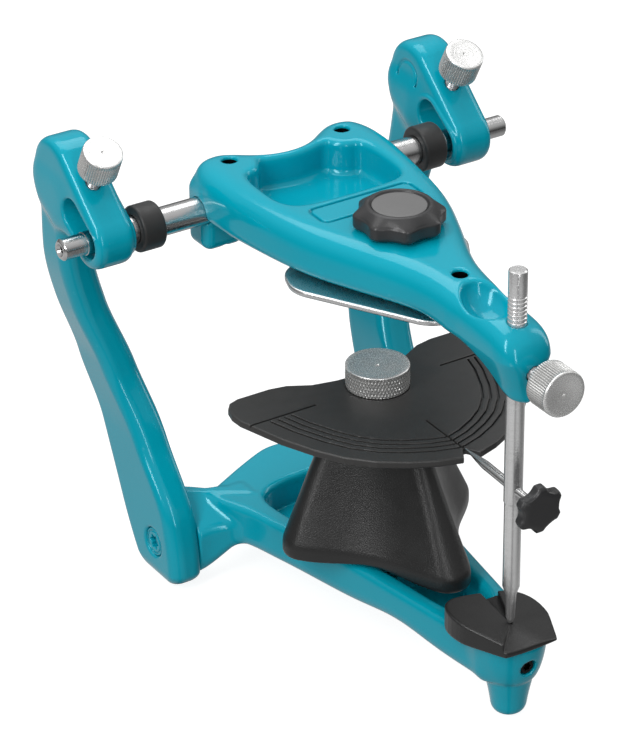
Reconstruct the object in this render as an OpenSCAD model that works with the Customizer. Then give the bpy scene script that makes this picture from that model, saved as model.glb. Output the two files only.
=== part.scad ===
/* [Overall] */
// Height of the hinge axis over the table top
hinge_z = 110; // [109.6:0.1:110.4]
// Mid-plane to the middle of each condylar head
condyle_x = 57.4; // [57:0.1:58]
// Slope of the condylar path
path_angle = 34; // [32:0.5:36]
// Length of the condylar path
path_travel = 9; // [8:0.1:9]
// Mid-plane axis of the incisal pin, ahead of the hinge axis
pin_y = -108.3; // [-109:0.1:-108]
// Mounting axis of the plates, ahead of the hinge axis
clamp_y = -55; // [-56:0.1:-54.5]

/* [Hinge shaft] */
// Radius of the shaft between the collars
shaft_r = 4; // [3.9:0.05:4]
// Radius of the shaft's condylar ends
stub_r = 3.2; // [3.18:0.01:3.2]
// Radius of the shaft's free ends, which take a face-bow
tip_r = 3; // [2.95:0.01:3]
// Half of the shaft's length
shaft_half = 71; // [70:0.5:72]
// Where the shaft steps down to its ends
stub_from = 50.2; // [50:0.1:50.6]
// Radius of the condylar rollers
roller_r = 4.35; // [4.3:0.01:4.35]
// Width of the condylar rollers
roller_w = 3; // [2.5:0.1:3]
// Outer radius of the collars
collar_r = 6.5; // [6.3:0.1:6.7]
// Length of the collars
collar_len = 7; // [6.5:0.1:7]

/* [Posts] */
// Thickness of the condylar heads
head_t = 12; // [11.5:0.1:12]
// Width of the condylar slots
slot_w = 8.8; // [8.8:0.02:8.9]

/* [Upper frame] */
// Top of the upper frame above the hinge axis
frame_top = 12.4; // [12.2:0.1:12.6]
// Underside of the upper frame above the hinge axis
frame_under = -2.6; // [-2.8:0.1:-2.4]
// Floor of the tray above the hinge axis
tray_floor = 4; // [3.6:0.1:4.4]

/* [Plates and base] */
// Top of the occlusal plate over the table top
occlusal_z = 69.1; // [69:0.1:69.4]
// Thickness of the occlusal plate
occlusal_t = 2; // [1.9:0.1:2.2]
// Thickness of the upper mounting plate
mount_t = 1.6; // [1.5:0.1:1.6]
// Top of the lower frame over the table top
deck_z = 24; // [23.8:0.1:24.2]
// Underside of the lower frame over the table top
under_z = 12; // [11.8:0.1:12.2]

/* [Screws] */
// Radius of the lock screw knobs
lock_r = 5.5; // [5.3:0.1:5.7]
// Radius of the incisal pin lock knob
pin_lock_r = 6.35; // [6.2:0.05:6.4]
// Radius of the star clamp knobs
star_r = 12.35; // [12.2:0.05:12.4]
// Radius of the knurled knob on the occlusal plate
plate_knob_r = 8.85; // [8.7:0.05:8.9]
// Incisal pin radius
pin_r = 2.5; // [2.45:0.01:2.5]
// Incisal pointer radius
needle_r = 1.25; // [1.2:0.01:1.25]

/* [Hidden] */
$fn = 64;

teal = [0.08, 0.58, 0.66];
steel = [0.78, 0.78, 0.79];
nickel = [0.85, 0.85, 0.84];
black = [0.11, 0.11, 0.12];
dark = [0.2, 0.2, 0.21];

run = 0.05;            // running clearance on a radius
seat = 0.02;           // clearance of a seated part
e = 0.5;               // overshoot of a cutting tool
m4_r = 2;              // M4 stud radius
m5_r = 2.5;            // M5 stud radius
tap5_r = 2.1;          // M5 tapped hole radius
dowel_r = 1.5;         // locating dowel radius
hinge = [0, 0, hinge_z];
datum = [0, -pin_y, 0]; // brings the front foot to the origin

tip_from = 63.8;       // where the shaft's free ends begin
collar_x = 41.6;       // inner end of a collar
pad_x = 37;            // joint face between lower frame and posts
post_screw_z = 12;     // height of the post screws
post_screw_y = -1;     // place of the post screws ahead of the hinge axis
frame_half = 28;       // half width of the upper frame at the shaft
mount_top = -3.6;      // top of the upper mounting plate above the hinge axis
boss_depth = -12;      // underside of the shaft bosses from the hinge axis

lock_tilt = 28;        // forward tilt of the lock screws
lock_face = [-1.1, 25.7];  // centre of a lock knob's face from the hinge axis
lock_head = 8;         // height of a lock knob
lock_reach = 16;       // knob face to stud tip
pin_lock_z = -4.6;     // pin lock axis from the hinge axis
pin_lock_face = -129.2; // face of the pin lock knob
pin_top = 21.5;        // top of the incisal pin from the hinge axis
pin_tip = -82.7;       // tip of the incisal pin from the hinge axis

ring_from = 7.3;       // lowest ring groove of the pin, from the hinge axis
ring_step = 1.15;      // pitch of the ring grooves
ring_count = 7;

needle_dip = 2.7;      // fall of the pointer towards its knob
needle_tip = [0, -86.4, 69.3];
needle_len = 35;       // tip to the front of the knob
knob_back = 31;        // tip to the back of the pointer knob

plinth_top = occlusal_z - occlusal_t;
plinth_foot = deck_z + 0.02;
plate_knob_y = -44.8;
plate_seat = 0.15;     // depth of the knob's seat in the occlusal plate
well_floor = 15;       // top of the well's floor
table_top = 29.4;      // rim of the incisal table over the table top
table_seat = deck_z + 0.02;
table_dip = 2.2;       // fall of the guiding faces from the rim to the centre
table_slope = 8.7;     // slope of the side faces
peg_r = 5;             // peg of the incisal table
peg_depth = 9;
set_screw_z = 17.8;    // height of the incisal table's set screw

// a straight cylinder along +X, starting at x
module bar_x(x, y, z, r, len) {
    translate([x, y, z])
        rotate([0, 90, 0])
            cylinder(r = r, h = len);
}

// both sides of the mid-plane
module both() {
    children();
    mirror([1, 0, 0])
        children();
}

// knurled head: a turned cylinder with edge chamfers and a shallow turned dish
module turned_head(r, h, chamfer, dish) {
    difference() {
        rotate_extrude()
            polygon([
                [0, 0], [r - chamfer, 0], [r, chamfer],
                [r, h - chamfer], [r - chamfer, h], [0, h]
            ]);
        translate([0, 0, h - dish])
            cylinder(r1 = r * 0.25, r2 = r * 0.78, h = dish + 0.01);
    }
}

// star grip: a disc with hollows between its lobes
module star_head(r, h, lobes, hollow_r, bite, chamfer) {
    difference() {
        rotate_extrude()
            polygon([
                [0, 0], [r - chamfer * 0.3, 0], [r, chamfer * 0.3],
                [r, h - chamfer], [r - chamfer * 1.6, h], [0, h]
            ]);
        for (i = [0 : lobes - 1])
            rotate([0, 0, (i + 0.5) * 360 / lobes])
                translate([r + hollow_r - bite, 0, -e])
                    cylinder(r = hollow_r, h = h + 2 * e);
    }
}

// two circles of a slot along +X, joined, as round as drilled
module slot_x(x, len, r, from, to) {
    translate([x, 0, hinge_z])
        rotate([path_angle, 0, 0]) {
            translate([0, from, 0])
                rotate([0, 90, 0])
                    cylinder(r = r, h = len);
            translate([0, to, 0])
                rotate([0, 90, 0])
                    cylinder(r = r, h = len);
            translate([0, from, -r])
                cube([len, to - from, 2 * r]);
        }
}

// places a lock screw's own axis, pointing out of the head
module at_lock() {
    translate([condyle_x, lock_face[0], hinge_z + lock_face[1]])
        rotate([lock_tilt, 0, 0])
            children();
}

// Right-hand post, standing on the table

// shank sections: height, distance from the mid-plane, rear and front round, radius
shank_plan = [
    [117, 57.4, 23, 18.5, 5.2], [98, 56.3, 25.4, 21, 5.2], [80, 51.9, 28, 22.4, 5.2], [60, 45.2, 28.2, 19, 5.2],
    [40, 41.6, 22, 8.4, 5.2], [20, 41, 14, -5, 5.2], [5, 41, 6, -7.4, 5], [0, 41, 2, -5, 3.4]
];

module head_solid() {
    translate([condyle_x - head_t / 2, 0, hinge_z])
        rotate([90, 0, 90])
            linear_extrude(head_t)
                hull() {
                    translate([0, 0.5])
                        circle(r = 8);
                    translate([18.3, 12.9])
                        circle(r = 10);
                }
}

module shank_section(row) {
    for (y = [row[2], row[3]])
        translate([row[1], y, row[0]])
            cylinder(r = row[4], h = 0.01, $fn = 32);
}

module shank_solid() {
    for (i = [0 : len(shank_plan) - 2])
        hull() {
            shank_section(shank_plan[i]);
            shank_section(shank_plan[i + 1]);
        }
}

module post() {
    difference() {
        union() {
            head_solid();
            shank_solid();
        }
        slot_x(condyle_x - head_t, 2 * head_t, slot_w / 2, -0.2, path_travel + 0.2);
        at_lock()
            translate([0, 0, -30])
                cylinder(r = m4_r + run, h = 30 - lock_head);
        bar_x(pad_x - 5, post_screw_y, post_screw_z, m4_r + run, 30);
        bar_x(pad_x + 6.6, post_screw_y, post_screw_z, 4.3, 30);
        for (dy = [-5, 5])
            bar_x(pad_x - e, post_screw_y + dy, post_screw_z + 6, dowel_r + seat, 3.5);
        translate([-1, -60, -e])
            cube([pad_x + 1, 120, 60]);
    }
}

module right_post() {
    translate(datum) color(teal)
        post();
}

module left_post() {
    translate(datum) color(teal)
        mirror([1, 0, 0])
            post();
}

module post_screws() {
    translate(datum) color(teal)
        both()
            difference() {
                union() {
                    bar_x(pad_x - 9, post_screw_y, post_screw_z, m4_r, 16);
                    bar_x(pad_x + 6.65, post_screw_y, post_screw_z, 4.2, 2.2);
                }
                translate([pad_x + 7.4, post_screw_y, post_screw_z])
                    rotate([0, 90, 0])
                        cylinder(r = 1.5, h = 4, $fn = 6);
            }
}

module post_dowels() {
    translate(datum) color(steel)
        both()
            for (dy = [-5, 5])
                bar_x(pad_x - 4, post_screw_y + dy, post_screw_z + 6, dowel_r, 6.8);
}

// Lower frame

deck_half = [
    [0, 12.5], [6, 11.5], [12, 8], [20, 2], [26, -3],
    [26, -15], [23.5, -22], [19.6, -38], [16.4, -56],
    [13.6, -76], [10.8, -92], [9, -100], [8.5, -108]
];

module mirrored_plan(half) {
    polygon(concat(half, [for (i = [len(half) - 1 : -1 : 0]) [-half[i][0], half[i][1]]]));
}

well_half = [[0, -9], [9, -9.5], [16, -12], [18, -17], [16.5, -28], [12, -52], [8.5, -74], [6.5, -90], [0, -93]];

module well() {
    linear_extrude(deck_z)
        offset(r = 1.5)
            offset(delta = -1.5)
                mirrored_plan(well_half);
}

module lower_frame() {
    translate(datum) color(teal)
        difference() {
            union() {
                translate([0, 0, under_z])
                    linear_extrude(deck_z - under_z)
                        offset(r = 2)
                            offset(delta = -2)
                                mirrored_plan(deck_half);
                translate([0, pin_y, under_z])
                    cylinder(r1 = 7.2, r2 = 9.8, h = deck_z - under_z);
                translate([0, pin_y, 0])
                    cylinder(r1 = 4.5, r2 = 6.9, h = under_z + 1);
                // diagonal arms out to the posts
                both()
                    hull() {
                        translate([22, -15, under_z])
                            cube([3, 11, deck_z - under_z]);
                        translate([pad_x - 4, -11.5, 3])
                            cube([4, 16, 21.6]);
                    }
            }
            // blind well between the rails, with a bridge for the clamp
            difference() {
                translate([0, 0, well_floor])
                    well();
                translate([-20, clamp_y - 9, under_z - 1])
                    cube([40, 18, deck_z - under_z - 3.5]);
            }
            // the well is open only ahead of its floor
            intersection() {
                translate([0, 0, under_z - e])
                    well();
                translate([-20, clamp_y - 40, 0])
                    cube([40, 17, deck_z]);
            }
            translate([0, clamp_y, 0])
                cylinder(r = m5_r + 0.25, h = 40);
            // socket of the incisal table and its set screw
            translate([0, pin_y, deck_z - peg_depth])
                cylinder(r = peg_r + seat, h = peg_depth + 1);
            translate([0, pin_y - 4, set_screw_z])
                rotate([90, 0, 0])
                    cylinder(r = m4_r + run, h = 12);
            both() {
                bar_x(pad_x - 12, post_screw_y, post_screw_z, m4_r + run, 13);
                for (dy = [-5, 5])
                    bar_x(pad_x - 4.2, post_screw_y + dy, post_screw_z + 6, dowel_r + seat, 5);
            }
        }
}

// Incisal table with its peg

table_half = [
    [0, -93.2], [8, -93.3], [12.2, -95.4], [14, -98.6], [14.2, -102.4],
    [13.2, -107], [11.2, -112.6], [7.4, -118], [0, -118.4]
];

module incisal_table() {
    translate(datum) color(black)
        difference() {
            union() {
                translate([0, 0, table_seat])
                    linear_extrude(table_top - table_seat)
                        offset(r = 1.5)
                            offset(delta = -1.5)
                                mirrored_plan(table_half);
                translate([0, pin_y, deck_z - peg_depth + 0.1])
                    cylinder(r = peg_r, h = peg_depth + 1);
            }
            // guiding faces fall to the centre, where the pin's tip stands
            both()
                translate([0, -140, table_top - table_dip])
                    rotate([0, -table_slope, 0])
                        cube([30, 60, 10]);
            translate([-20, pin_y + 2, table_top - table_dip])
                rotate([6, 0, 0])
                    cube([40, 30, 10]);
        }
}

module table_set_screw() {
    translate(datum) color(dark)
        translate([0, pin_y - peg_r - 0.1, set_screw_z])
            rotate([90, 0, 0])
                difference() {
                    cylinder(r = m4_r, h = 3);
                    translate([0, 0, 1.4])
                        cylinder(r = 1, h = 3, $fn = 6);
                }
}

// Setup plinth: three flared feet under a small top

plinth_feet = [[-21.6, -43.2], [21.6, -43.2], [0, -79]];
plinth_head = [[-6.5, -44.2], [6.5, -44.2], [0, -57]];
flank_r = 45;          // radius of the hollow between two feet

module flank() {
    translate([0, flank_r + 3, 0])
        rotate([13, 0, 0])
            translate([0, 0, -20])
                cylinder(r = flank_r, h = 90);
}

module setup_plinth() {
    translate(datum) color(black)
        difference() {
            hull() {
                for (p = plinth_feet)
                    translate([p[0], p[1], plinth_foot])
                        cylinder(r = 6.5, h = 5, $fn = 32);
                for (p = plinth_head)
                    translate([p[0], p[1], plinth_top - 2])
                        cylinder(r = 5, h = 2, $fn = 32);
            }
            // hollow flanks beside the front foot
            both()
                translate([11, -61, plinth_foot])
                    rotate([0, 0, -121])
                        flank();
            // arches between the feet
            for (a = [0, 120, 240])
                translate([0, clamp_y - 2, 0])
                    rotate([0, 0, a])
                        translate([0, 36, deck_z - 20])
                            rotate([58, 0, 0])
                                cylinder(r = 17, h = 60, center = true);
            translate([0, clamp_y, 0])
                cylinder(r = 4.5, h = deck_z + 12.1);
            translate([0, plate_knob_y, plinth_top - 10.1])
                cylinder(r = 4.5, h = 20);
        }
}

module plinth_inserts() {
    translate(datum) color(steel) {
        translate([0, clamp_y, deck_z + 0.6])
            difference() {
                cylinder(r = 4.45, h = 11.4);
                translate([0, 0, -e])
                    cylinder(r = m5_r + run, h = 11);
            }
        translate([0, plate_knob_y, plinth_top - 10])
            difference() {
                cylinder(r = 4.45, h = 9.9);
                translate([0, 0, 1])
                    cylinder(r = m5_r + run, h = 11);
            }
    }
}

// Occlusal plate with its pointer notch

plate_half = [
    [0, -37.5], [8, -37], [15, -35.5], [21, -32.2], [26, -31.2], [36, -31.2], [40.5, -34], [42, -40],
    [40.4, -46], [37.5, -56], [33.4, -65.5], [29, -73], [23, -79.5], [16, -84.3], [9, -87.8], [2.6, -89.8],
    [0.5, -86.2], [0, -86.1]
];

module occlusal_plate() {
    translate(datum) color(black)
        difference() {
            translate([0, 0, occlusal_z - occlusal_t])
                linear_extrude(occlusal_t)
                    mirrored_plan(plate_half);
            translate([0, plate_knob_y, occlusal_z - 5])
                cylinder(r = m5_r + 0.2, h = 10);
            translate([0, plate_knob_y, occlusal_z - plate_seat])
                cylinder(r = plate_knob_r + 0.15, h = 1);
        }
}

module plate_knob() {
    translate(datum) color(nickel)
        translate([0, plate_knob_y, occlusal_z - plate_seat + 0.02])
            difference() {
                turned_head(plate_knob_r, 6.5, 0.6, 0.8);
                translate([0, 0, -e])
                    cylinder(r = m5_r + seat, h = 4.5);
            }
}

module plate_stud() {
    translate(datum) color(steel)
        translate([0, plate_knob_y, occlusal_z - 10])
            cylinder(r = m5_r, h = 13.8);
}

// Upper clamp: star grip, cap disc and stud

knob_seat = hinge_z + 11.1;    // underside of the upper clamp knob
knob_h = 6.5;                  // height of the upper clamp knob

module upper_clamp_knob() {
    translate(datum) color(black)
        translate([0, clamp_y, knob_seat])
            difference() {
                star_head(star_r, knob_h, 8, 8, 1.3, 1.1);
                translate([0, 0, knob_h - 0.7])
                    cylinder(r = 7.4, h = 2);
                translate([0, 0, -e])
                    cylinder(r = m5_r + seat, h = knob_h - 1.5 + e);
            }
}

module upper_knob_cap() {
    translate(datum) color(dark)
        translate([0, clamp_y, knob_seat + knob_h - 0.68])
            cylinder(r = 7.35, h = 0.35);
}

module upper_clamp_stud() {
    translate(datum) color(steel)
        translate([0, clamp_y, hinge_z + mount_top + 0.2])
            cylinder(r = m5_r, h = knob_seat + knob_h - 1.6 - hinge_z - mount_top - 0.2);
}

// Lower clamp: a flat knurled screw under the bridge

module lower_clamp_knob() {
    translate(datum) color(dark)
        translate([0, clamp_y, under_z - 1.1])
            mirror([0, 0, 1])
                difference() {
                    turned_head(6, 3.6, 0.5, 0.4);
                    translate([0, 0, -e])
                        cylinder(r = m5_r + seat, h = 2.8 + e);
                }
}

module lower_clamp_stud() {
    translate(datum) color(steel)
        translate([0, clamp_y, under_z - 1.1 - 2.7])
            cylinder(r = m5_r, h = 24.3);
}

// Upper frame

frame_half_plan = [
    [0, 0.5], [5, 2], [10, 5], [14, 7.6], [18, 8.8], [22, 8.8], [25.5, 7], [27.6, 3], [28.2, -5],
    [28.2, -14], [27, -24], [24.8, -37], [22.4, -47], [17, -60], [12.2, -70], [9.4, -78],
    [8.3, -86], [8, -96], [8, -107], [7.3, -111.5], [5, -115.3], [0, -117]
];

frame_side = [
    [12, frame_top], [0, frame_top], [-20, frame_top - 0.5], [-55, frame_top - 1.5], [-70, 10.1], [-83, 9.2],
    [-95, 8], [-106, 7.1], [-111, 6.4], [-114.4, 4.8], [-117, 1.4], [-118, -4], [-118, -7], [-100, -7],
    [-97, -5.6], [-90, -4.2], [-82, -2.9], [-76, frame_under], [12, frame_under]
];

// rear lower edge of the nose
nose_side = [[-96, -3], [-98, -5.8], [-103, -8.5], [-106.5, -13], [-109.8, -15.5], [-109.8, -3]];

tray_half = [
    [0, -5.2], [5, -3.8], [10, -2.6], [12.5, -6.5], [18, -7.6], [19.4, -12], [20, -20], [20, -28],
    [17.5, -32.4], [12, -33.6], [0, -34]
];

module upper_frame() {
    translate(datum) color(teal)
        translate(hinge)
            difference() {
                union() {
                    intersection() {
                        translate([0, 0, -20])
                            linear_extrude(40)
                                offset(r = 2)
                                    offset(delta = -2)
                                        mirrored_plan(frame_half_plan);
                        translate([-40, 0, 0])
                            rotate([90, 0, 90])
                                linear_extrude(80)
                                    offset(r = 1.5)
                                        offset(delta = -1.5)
                                            polygon(frame_side);
                    }
                    both()
                        translate([15.2, -3, boss_depth])
                            cube([frame_half - 15.2 - 0.2, 10.6, -boss_depth + 6]);
                    // tapered nose around the pin
                    translate([0, pin_y - 1.5, -16.2])
                        cylinder(r1 = 4.6, r2 = 7.2, h = 11);
                    translate([-4.5, 0, 0])
                        rotate([90, 0, 90])
                            linear_extrude(9)
                                polygon(nose_side);
                }
                bar_x(-40, 0, 0, shaft_r + seat, 80);
                translate([0, 0, tray_floor])
                    linear_extrude(20)
                        offset(r = 2)
                            offset(delta = -2)
                                mirrored_plan(tray_half);
                // spoon recess behind the pin
                translate([0, 0, 1.4])
                    linear_extrude(20)
                        difference() {
                            hull()
                                for (y = [-93.6, -98])
                                    translate([0, y])
                                        circle(r = 6.2);
                            translate([-10, -124.4])
                                square([20, 20]);
                        }
                // flat seat of the clamp knob
                translate([0, clamp_y, knob_seat - hinge_z - 0.05])
                    cylinder(r = star_r + 0.3, h = 8);
                // tapped accessory holes
                both()
                    translate([18, 0.65, frame_top - 8])
                        cylinder(r = tap5_r, h = 20);
                translate([0, -82.9, -5])
                    cylinder(r = tap5_r, h = 30);
                // clamp bore and the mounting plate's hub recess
                translate([0, clamp_y, -5])
                    cylinder(r = m5_r + 0.25, h = 30);
                translate([0, clamp_y, mount_top - e])
                    cylinder(r = 6.1, h = 4.7 + e);
                for (s = [-1, 1])
                    translate([12 * s, clamp_y + 9, -5])
                        cylinder(r = dowel_r + seat, h = 7);
                // shaft grub screws
                for (s = [-1, 1])
                    translate([21.5 * s, 0, boss_depth - e])
                        cylinder(r = m4_r + run, h = -boss_depth);
                // incisal pin bore and its lock screw
                translate([0, pin_y, -30])
                    cylinder(r = pin_r + run, h = 60);
                translate([0, pin_y, pin_lock_z])
                    rotate([90, 0, 0])
                        cylinder(r = m4_r + run, h = 20);
            }
}

module hinge_shaft() {
    translate(datum) color(steel)
        translate(hinge)
            difference() {
                union() {
                    bar_x(-stub_from, 0, 0, shaft_r, 2 * stub_from);
                    bar_x(-tip_from, 0, 0, stub_r, 2 * tip_from);
                    bar_x(-shaft_half + 0.6, 0, 0, tip_r, 2 * shaft_half - 1.2);
                    both()
                        translate([shaft_half - 0.6, 0, 0])
                            rotate([0, 90, 0])
                                cylinder(r1 = tip_r, r2 = tip_r - 0.6, h = 0.6);
                }
                // centre-drilled ends
                both() {
                    bar_x(shaft_half - 3, 0, 0, 1, 4);
                    translate([shaft_half - 0.8, 0, 0])
                        rotate([0, 90, 0])
                            cylinder(r1 = 0.8, r2 = 1.7, h = 0.81);
                }
            }
}

module shaft_grub_screws() {
    translate(datum) color(dark)
        translate(hinge)
            for (s = [-1, 1])
                translate([21.5 * s, 0, boss_depth + 1])
                    difference() {
                        cylinder(r = m4_r, h = -boss_depth - 1 - shaft_r - 0.03);
                        translate([0, 0, -e])
                            cylinder(r = 1, h = 3, $fn = 6);
                    }
}

module upper_mount_plate() {
    translate(datum) color(nickel)
        translate(hinge)
            difference() {
                union() {
                    translate([0, 0, mount_top - mount_t])
                        linear_extrude(mount_t)
                            offset(r = 9)
                                polygon([[-17.2, -42.8], [17.2, -42.8], [18, -45.2], [2, -73.2], [-2, -73.2], [-18, -45.2]]);
                    translate([0, clamp_y, mount_top - mount_t])
                        cylinder(r = 6, h = 4.2 + mount_t);
                }
                translate([0, clamp_y, mount_top])
                    cylinder(r = m5_r + run, h = 10);
                for (s = [-1, 1])
                    translate([12 * s, clamp_y + 9, -6])
                        cylinder(r = dowel_r + run, h = 4);
            }
}

module plate_dowels() {
    translate(datum) color(steel)
        translate(hinge)
            for (s = [-1, 1])
                translate([12 * s, clamp_y + 9, mount_top - mount_t + 0.2])
                    cylinder(r = dowel_r, h = 6.5);
}

module collar() {
    translate(hinge)
        difference() {
            translate([collar_x, 0, 0])
                rotate([0, 90, 0])
                    rotate_extrude()
                        polygon([
                            [shaft_r + run, 0], [collar_r - 0.5, 0], [collar_r, 0.5],
                            [collar_r, collar_len - 0.5], [collar_r - 0.5, collar_len], [shaft_r + run, collar_len]
                        ]);
        }
}

module right_collar() {
    translate(datum) color(dark)
        collar();
}

module left_collar() {
    translate(datum) color(dark)
        mirror([1, 0, 0])
            collar();
}

// condylar roller on the shaft's end, running in the slot
module roller(play) {
    translate(hinge)
        difference() {
            bar_x(condyle_x - roller_w / 2, 0, 0, roller_r, roller_w);
            bar_x(condyle_x - roller_w, 0, 0, stub_r + play, 2 * roller_w);
        }
}

module right_roller() {
    translate(datum) color(steel)
        roller(0.16);
}

module left_roller() {
    translate(datum) color(steel)
        mirror([1, 0, 0])
            roller(run);
}

// Condylar lock screws

module lock_knob() {
    at_lock()
        translate([0, 0, -lock_head])
            difference() {
                turned_head(lock_r, lock_head, 0.5, 0.3);
                translate([0, 0, -e])
                    cylinder(r = m4_r + seat, h = 5 + e);
            }
}

module lock_stud() {
    at_lock()
        translate([0, 0, -lock_reach])
            cylinder(r = m4_r, h = lock_reach - lock_head + 4.9);
}

module right_lock_knob() {
    translate(datum) color(nickel)
        lock_knob();
}

module left_lock_knob() {
    translate(datum) color(nickel)
        mirror([1, 0, 0])
            lock_knob();
}

module right_lock_stud() {
    translate(datum) color(steel)
        lock_stud();
}

module left_lock_stud() {
    translate(datum) color(steel)
        mirror([1, 0, 0])
            lock_stud();
}

// Incisal pin, its lock screw and its pointer

module needle_axis() {
    translate(needle_tip)
        rotate([90 + needle_dip, 0, 0])
            children();
}

// one ring groove: depth and height from its middle
ring_shape = [[0, -0.3], [0.25, -0.12], [0.25, 0.12], [0, 0.3]];

module incisal_pin() {
    translate(datum) color(steel)
        difference() {
            translate([0, pin_y, hinge_z])
                rotate_extrude()
                    polygon(concat(
                        [[0, pin_tip], [0.5, pin_tip], [1.25, pin_tip + 2], [1.5, pin_tip + 9]],
                        [[2.3, pin_tip + 11.5], [2.3, -46], [pin_r, -45.6]],
                        [for (i = [0 : ring_count - 1], d = ring_shape) [pin_r - d[0], ring_from + i * ring_step + d[1]]],
                        [[pin_r, pin_top - 0.5], [pin_r - 0.5, pin_top], [0, pin_top]]
                    ));
            needle_axis()
                cylinder(r = needle_r + run, h = 40);
        }
}

module pin_lock_knob() {
    translate(datum) color(nickel)
        translate([0, pin_lock_face + 8, hinge_z + pin_lock_z])
            rotate([90, 0, 0])
                difference() {
                    turned_head(pin_lock_r, 8, 0.6, 0.8);
                    translate([0, 0, -e])
                        cylinder(r = m4_r + seat, h = 5 + e);
                }
}

module pin_lock_stud() {
    translate(datum) color(steel)
        translate([0, pin_y - pin_r - 0.03, hinge_z + pin_lock_z])
            rotate([90, 0, 0])
                cylinder(r = m4_r, h = pin_y - pin_r - 0.03 - pin_lock_face - 3.2);
}

module incisal_pointer() {
    translate(datum) color(steel)
        needle_axis()
            rotate_extrude()
                polygon([[0, 0], [0.15, 0.1], [needle_r, 9.2], [needle_r, needle_len - 1.5], [0, needle_len - 1.5]]);
}

module pointer_knob() {
    translate(datum) color(black)
        needle_axis()
            translate([0, 0, knob_back])
                difference() {
                    star_head(6.9, needle_len - knob_back, 6, 3.2, 1.2, 0.5);
                    translate([0, 0, -e])
                        cylinder(r = needle_r + seat, h = needle_len - knob_back - 1 + e);
                }
}

lower_frame();
left_post();
right_post();
post_screws();
post_dowels();
incisal_table();
table_set_screw();
setup_plinth();
plinth_inserts();
occlusal_plate();
plate_knob();
plate_stud();
lower_clamp_knob();
lower_clamp_stud();
upper_frame();
hinge_shaft();
shaft_grub_screws();
upper_mount_plate();
plate_dowels();
left_collar();
right_collar();
left_roller();
right_roller();
left_lock_knob();
left_lock_stud();
right_lock_knob();
right_lock_stud();
upper_clamp_knob();
upper_clamp_stud();
upper_knob_cap();
incisal_pin();
pin_lock_knob();
pin_lock_stud();
incisal_pointer();
pointer_knob();
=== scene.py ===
import math

import bpy
import numpy as np
from mathutils import Matrix, Vector


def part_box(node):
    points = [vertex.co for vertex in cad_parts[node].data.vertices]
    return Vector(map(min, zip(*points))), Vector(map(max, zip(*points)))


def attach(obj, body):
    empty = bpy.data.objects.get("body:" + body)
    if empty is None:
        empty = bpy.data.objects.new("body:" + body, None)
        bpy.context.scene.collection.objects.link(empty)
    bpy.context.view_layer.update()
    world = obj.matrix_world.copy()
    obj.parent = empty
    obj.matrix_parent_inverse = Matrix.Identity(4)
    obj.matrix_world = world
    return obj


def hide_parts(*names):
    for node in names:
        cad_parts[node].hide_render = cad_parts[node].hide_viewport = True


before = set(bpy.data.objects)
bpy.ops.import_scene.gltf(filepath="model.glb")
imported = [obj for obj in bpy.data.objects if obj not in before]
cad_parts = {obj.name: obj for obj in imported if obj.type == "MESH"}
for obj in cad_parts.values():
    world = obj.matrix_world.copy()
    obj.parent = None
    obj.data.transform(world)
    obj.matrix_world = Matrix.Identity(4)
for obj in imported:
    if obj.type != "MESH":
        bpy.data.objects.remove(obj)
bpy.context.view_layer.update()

# Shapes are written in millimetres around the middle of the hinge axis.
MM = 0.001
COARSE = 1.0
shaft_low, shaft_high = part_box("hinge_shaft")
HINGE = np.array([0.0, (shaft_low.y + shaft_high.y) / 2, (shaft_low.z + shaft_high.z) / 2])

# Places and levels that several pieces share
PIN_Y = -108.3  # incisal pin and the bores below it
PIN_LOCK_Z = -4.6
SET_SCREW_Z = -92.2
CLAMP_Y = -55.0  # clamp studs of both frames
PLATE_SCREW_Y = -44.8  # screw of the occlusal plate
SCREW_Y, SCREW_Z = -1.0, -98.0  # post screws
PAD_X = 37.0  # where the posts meet the lower frame
HEAD_X = 57.4  # middle of the condylar heads
FOOT_Z = -110.0
DECK_Z = -86.0  # top of the lower frame
SEAT_Z = -85.95  # underside of what stands on it
M4_BORE, M4_CLEAR, M5_CLEAR = 2.1, 2.2, 2.75

# ---------------------------------------------------------------- distance fields


def smax(a, b, k):
    """Larger of two fields, blended over k."""
    h = np.maximum(k - np.abs(a - b), 0) / k
    return np.maximum(a, b) + h * h * k * 0.25


def smin(a, b, k):
    return -smax(-a, -b, k)


def less(d, hole, k=0.0):
    """A body with a hole taken out of it, the edge rounded over k."""
    return smax(d, -hole, k) if k else np.maximum(d, -hole)


def poly_dist(pts, x, y):
    """Signed distance to a closed outline, negative inside."""
    pts = np.asarray(pts, float)
    best = np.full(x.shape, 1e9)
    inside = np.zeros(x.shape, bool)
    for (ax, ay), (bx, by) in zip(pts, np.roll(pts, -1, 0)):
        ex, ey = bx - ax, by - ay
        t = np.clip(((x - ax) * ex + (y - ay) * ey) / (ex * ex + ey * ey), 0, 1)
        best = np.minimum(best, (x - ax - t * ex) ** 2 + (y - ay - t * ey) ** 2)
        cross = (ay > y) != (by > y)
        side = x < ex * (y - ay) / (ey if ey else 1e-9) + ax
        inside ^= cross & side
    d = np.sqrt(best)
    return np.where(inside, -d, d)


def smooth_outline(pts, rounds):
    """Chaikin corner cutting of a closed outline."""
    p = np.asarray(pts, float)
    for _ in range(rounds):
        q = np.roll(p, -1, 0)
        a, b = 0.75 * p + 0.25 * q, 0.25 * p + 0.75 * q
        p = np.stack([a, b], 1).reshape(-1, 2)
    return p


def mirrored(half):
    """Full outline from the +X half, listed from the mid-plane round to the mid-plane."""
    half = np.asarray(half, float)
    other = half[::-1].copy()
    other[:, 0] *= -1
    keep = [p for p in other if abs(p[0]) > 1e-6]
    return np.vstack([half, keep])


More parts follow.
